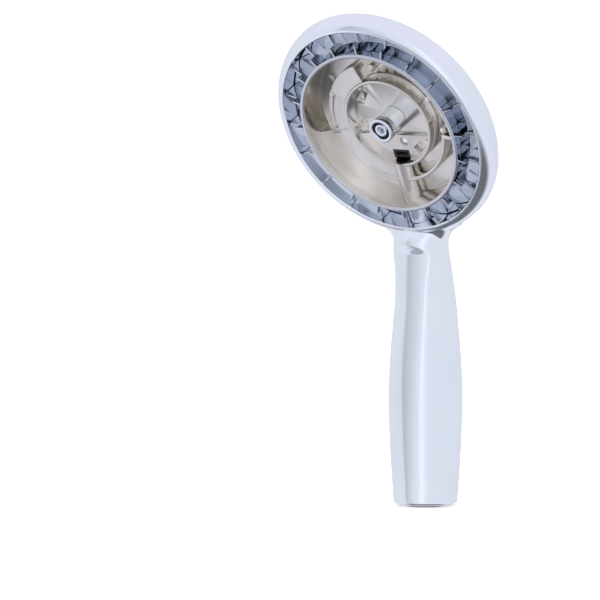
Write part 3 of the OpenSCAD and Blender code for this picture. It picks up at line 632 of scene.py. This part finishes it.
# Detent plunger: a moulded acetal button, hollow for its spring, that clicks into
# the back of the selector
white_acetal = finish("white_acetal", (0.86, 0.86, 0.84), (0.78, 0.78, 0.76), (0.28, 0.42), 120, metal=0,
                      bump=0.01)
BUTTON_R, BUTTON_TOP, BUTTON_IN = 2.2, LAND - 0.5, 1.6
nose = [(BUTTON_R * math.sin(v), BUTTON_R * math.cos(v) - BUTTON_R) for v in np.radians(np.arange(0, 49, 6))]
skirt = [(BUTTON_R, -0.95), (BUTTON_R, -2.2), (BUTTON_IN, -2.2), (BUTTON_IN, -0.7), (0, -0.7)]
button = turned("detent_button", nose + skirt, 48, at_face=False)
button.data.transform(FACE @ Matrix.Translation((PLUNGER[0] * MM, PLUNGER[1] * MM, BUTTON_TOP * MM)))
dress(button, white_acetal, "detent_plunger", "detent")

# Detent spring: four turns of fine stainless wire between the tray's pit and the button.
# In use the coil closes up as the button is pushed in; here it is built at one length.


def coil(name, mid_r, wire, low, high, turns):
    """A round-wire spring about the z axis, its wire's axis climbing from low to high."""
    bpy.ops.object.select_all(action="DESELECT")
    bpy.ops.mesh.primitive_circle_add(vertices=12, radius=wire * MM, location=(mid_r * MM, 0, low * MM),
                                      rotation=(math.pi / 2, 0, 0))
    piece = bpy.context.active_object
    piece.name = piece.data.name = name
    return climb(piece, high - low, turns)


def climb(piece, rise, turns):
    """Sweeps the piece's closed outline up a helix about the z axis and closes both ends."""
    piece.data.transform(piece.matrix_basis)
    piece.matrix_basis = Matrix()
    only(piece)
    m = piece.modifiers.new("helix", "SCREW")
    m.angle, m.screw_offset, m.iterations = 2 * math.pi * turns, rise * MM, 1
    m.steps = m.render_steps = int(32 * turns)
    bpy.ops.object.modifier_apply(modifier=m.name)
    bpy.ops.object.mode_set(mode="EDIT")
    bpy.ops.mesh.select_all(action="SELECT")
    bpy.ops.mesh.fill_holes(sides=0)
    bpy.ops.mesh.select_all(action="SELECT")
    bpy.ops.mesh.normals_make_consistent(inside=False)
    bpy.ops.object.mode_set(mode="OBJECT")
    return piece


spring_steel = finish("spring_wire", (0.70, 0.70, 0.71), (0.52, 0.52, 0.54), (0.16, 0.30), 500, bump=0.003)
spring = coil("detent_coil_spring", 1.25, 0.2, -15.17, -12.5, 4)
spring.data.transform(FACE @ Matrix.Translation((PLUNGER[0] * MM, PLUNGER[1] * MM, 0)))
dress(spring, spring_steel, "detent_spring")
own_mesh(spring)

# Inlet bush: a turned brass sleeve, plated, bonded into the foot of the handle. Its
# mouth carries the G1/2 thread for the hose and an O-ring groove seals its outside.
GROOVE_R, SOCKET_R, WATERWAY_R, CARTRIDGE_R, WASHER_R, THREAD_ROOT = 10.9, 5.3, 4.4, 8.0, 9.85, 10.45
outline = [(9.9, -0.9), (11.7, -0.9), (BUSH_R, -0.4), (BUSH_R, 6.5), (GROOVE_R, 6.5), (GROOVE_R, 8.0),
           (BUSH_R, 8.0), (BUSH_R, 38), (SOCKET_R, 38), (SOCKET_R, 32.5), (WATERWAY_R, 32.5),
           (WATERWAY_R, 31.5), (CARTRIDGE_R, 31.5), (CARTRIDGE_R, 11.5), (WASHER_R, 11.5), (WASHER_R, 9.3),
           (THREAD_ROOT, 9.3), (THREAD_ROOT, -0.35)]
bush = turned("inlet_thread_bush", outline, 128, closed=True, at_face=False)
PITCH, THREAD_TURNS = 1.814, 4
bpy.ops.object.select_all(action="DESELECT")
bpy.ops.mesh.primitive_circle_add(vertices=4, radius=MM)
ridge = bpy.context.active_object
for v, (x, z) in zip(ridge.data.vertices, ((10.6, 0.35), (9.32, 1.05), (9.32, 1.35), (10.6, 2.0))):
    v.co = (x * MM, 0, z * MM)
cut(bush, climb(ridge, PITCH * THREAD_TURNS, THREAD_TURNS), "UNION")
plated_brass = finish("nickel_brass", (0.80, 0.81, 0.83), (0.66, 0.66, 0.67), (0.10, 0.24), 60, bump=0.008,
                      stretch=(1, 1, 4))
dress(bush, plated_brass, "inlet_bush")

# Check-valve spring: stainless wire that holds the poppet on its seat. In use it closes up
# as the water lifts the poppet; here it is built at one length.
spring = coil("valve_coil_spring", 2.9, 0.35, 21.87, 28.25, 4.5)
dress(spring, spring_steel, "check_valve_spring")
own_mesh(spring)

# Water tube, valve, regulator, screen and seals: moulded and stamped parts that sit
# inside the handle, shown with the plain shapes they have there
tube_plastic = finish("tube_polymer", (0.80, 0.81, 0.80), (0.70, 0.71, 0.70), (0.30, 0.45), 90, metal=0,
                      bump=0.02)
green_acetal = finish("green_acetal", (0.10, 0.42, 0.24), (0.07, 0.34, 0.19), (0.30, 0.45), 140, metal=0,
                      bump=0.01)
screen_steel = finish("stamped_steel", (0.66, 0.66, 0.67), (0.48, 0.48, 0.50), (0.22, 0.38), 700, bump=0.004)
for material, nodes in ((tube_plastic, ("waterway_tube",)),
                        (green_acetal, ("flow_regulator",)),
                        (screen_steel, ("inlet_screen",)),
                        (white_acetal, ("check_valve_body", "check_valve_guide", "check_valve_poppet")),
                        (black_rubber, ("tube_top_o_ring", "tube_bottom_o_ring", "bush_o_ring", "poppet_seal",
                                        "check_valve_o_ring", "regulator_ring", "hose_washer"))):
    for node in nodes:
        dress(bpy.data.objects[node], material)

# Camera and floor: a long lens at hand height and a plain sheet of white paper that
# the object stands on
CAM_AZ, CAM_EL, CAM_DIST, LENS = math.radians(34.4), math.radians(5), 8.0, 1030
right = Vector((math.cos(CAM_AZ), math.sin(CAM_AZ), 0))
aim = Vector((0, 0, 0.095)) - right * 0.0585
toward = Vector((math.sin(CAM_AZ) * math.cos(CAM_EL), -math.cos(CAM_AZ) * math.cos(CAM_EL), math.sin(CAM_EL)))
cam = bpy.data.objects.new("camera", bpy.data.cameras.new("camera"))
bpy.context.collection.objects.link(cam)
cam.data.lens, cam.data.sensor_width = LENS, 36
cam.location = aim + toward * CAM_DIST
cam.rotation_euler = toward.to_track_quat("Z", "Y").to_euler()
bpy.context.scene.camera = cam
bpy.context.scene.view_settings.view_transform = "Standard"

bpy.ops.object.select_all(action="DESELECT")
bpy.ops.mesh.primitive_circle_add(vertices=96, radius=4, fill_type="NGON", location=(0, 0, -0.0011))
floor = bpy.context.active_object
floor.name = "floor"
paper = bpy.data.materials.new("studio_paper")
paper.use_nodes = True
sheet = paper.node_tree.nodes["Principled BSDF"].inputs
sheet["Base Color"].default_value = (0.93, 0.935, 0.94, 1)
sheet["Roughness"].default_value = 0.9
sheet["Emission Color"].default_value = (1, 1, 1, 1)
sheet["Emission Strength"].default_value = 0.45
floor.visible_glossy = False
floor.data.materials.append(paper)

# Studio: a pale, slightly blue room that is brighter and darker in turns around the
# object, with a dark ground below it and two soft lamps
world = bpy.data.worlds.new("studio")
bpy.context.scene.world = world
world.use_nodes = True
nodes, links = world.node_tree.nodes, world.node_tree.links
coord, split = nodes.new("ShaderNodeTexCoord"), nodes.new("ShaderNodeSeparateXYZ")
links.new(coord.outputs["Generated"], split.inputs["Vector"])
flip, turn = nodes.new("ShaderNodeMath"), nodes.new("ShaderNodeMath")
flip.operation = "MULTIPLY"
flip.inputs[1].default_value = -1
links.new(split.outputs["Y"], flip.inputs[0])
turn.operation = "ARCTAN2"
links.new(split.outputs["X"], turn.inputs[0])
links.new(flip.outputs[0], turn.inputs[1])
share = nodes.new("ShaderNodeMapRange")
share.inputs["From Min"].default_value, share.inputs["From Max"].default_value = -math.pi, math.pi
links.new(turn.outputs[0], share.inputs["Value"])
band = nodes.new("ShaderNodeValToRGB")
STOPS = ((-180, 0.79), (-164, 0.74), (-148, 0.56), (-140, 0.78), (-80, 0.82), (-50, 0.80), (-43, 0.78),
         (-39, 0.56), (-28, 0.67), (-17, 0.75), (-6, 0.82), (8, 0.86), (16, 1.0), (24, 1.0), (34, 0.89),
         (48, 0.83), (150, 0.81), (179, 0.80))
while len(band.color_ramp.elements) < len(STOPS):
    band.color_ramp.elements.new(0.5)
for e, (deg, v) in zip(band.color_ramp.elements, STOPS):
    e.position, e.color = (deg + 180) / 360, (v * 0.96, v * 0.985, v * 1.08, 1)
links.new(share.outputs["Result"], band.inputs["Fac"])
height = nodes.new("ShaderNodeMapRange")
height.interpolation_type = "SMOOTHSTEP"
height.inputs["From Min"].default_value, height.inputs["From Max"].default_value = 0.3, 0.6
reach = nodes.new("ShaderNodeMath")
reach.operation = "ABSOLUTE"
links.new(split.outputs["Z"], reach.inputs[0])
links.new(reach.outputs[0], height.inputs["Value"])
mix = nodes.new("ShaderNodeMix")
mix.data_type = "RGBA"
mix.inputs[7].default_value = (0.82, 0.82, 0.93, 1)
links.new(height.outputs["Result"], mix.inputs["Factor"])
links.new(band.outputs["Color"], mix.inputs[6])
# the ground under the studio is dark, seen in what faces down
ground, under = nodes.new("ShaderNodeMapRange"), nodes.new("ShaderNodeMix")
ground.interpolation_type = "SMOOTHSTEP"
ground.inputs["From Min"].default_value, ground.inputs["From Max"].default_value = -0.66, -0.90
links.new(split.outputs["Z"], ground.inputs["Value"])
under.data_type = "RGBA"
under.inputs[7].default_value = (0.16, 0.165, 0.185, 1)
links.new(ground.outputs["Result"], under.inputs["Factor"])
links.new(mix.outputs[2], under.inputs[6])
# a small grey flag low in front of the studio gives the polished rim a soft streak
flag, near_flag = nodes.new("ShaderNodeVectorMath"), nodes.new("ShaderNodeMapRange")
flagged = nodes.new("ShaderNodeMix")
flag.operation, near_flag.interpolation_type, flagged.data_type = "DOT_PRODUCT", "SMOOTHSTEP", "RGBA"
flag.inputs[1].default_value = Vector((-0.34, -0.67, -0.66)).normalized()
near_flag.inputs["From Min"].default_value, near_flag.inputs["From Max"].default_value = 0.966, 0.985
flagged.inputs[7].default_value = (0.42, 0.43, 0.47, 1)
links.new(coord.outputs["Generated"], flag.inputs[0])
links.new(flag.outputs["Value"], near_flag.inputs["Value"])
links.new(near_flag.outputs["Result"], flagged.inputs["Factor"])
links.new(under.outputs[2], flagged.inputs[6])
links.new(flagged.outputs[2], nodes["Background"].inputs["Color"])
nodes["Background"].inputs["Strength"].default_value = 1.0


def soft_light(name, place, size, power, target=(0, -0.03, 0.13)):
    lamp = bpy.data.lights.new(name, "AREA")
    lamp.shape, lamp.size, lamp.energy = "DISK", size, power
    o = bpy.data.objects.new(name, lamp)
    bpy.context.collection.objects.link(o)
    o.location, o.visible_glossy = place, False
    o.rotation_euler = (Vector(place) - Vector(target)).to_track_quat("Z", "Y").to_euler()


soft_light("key_light", (-0.5, -1.1, 1.0), 0.8, 1.2)
soft_light("side_light", (1.2, -0.2, 0.7), 0.8, 0.9)
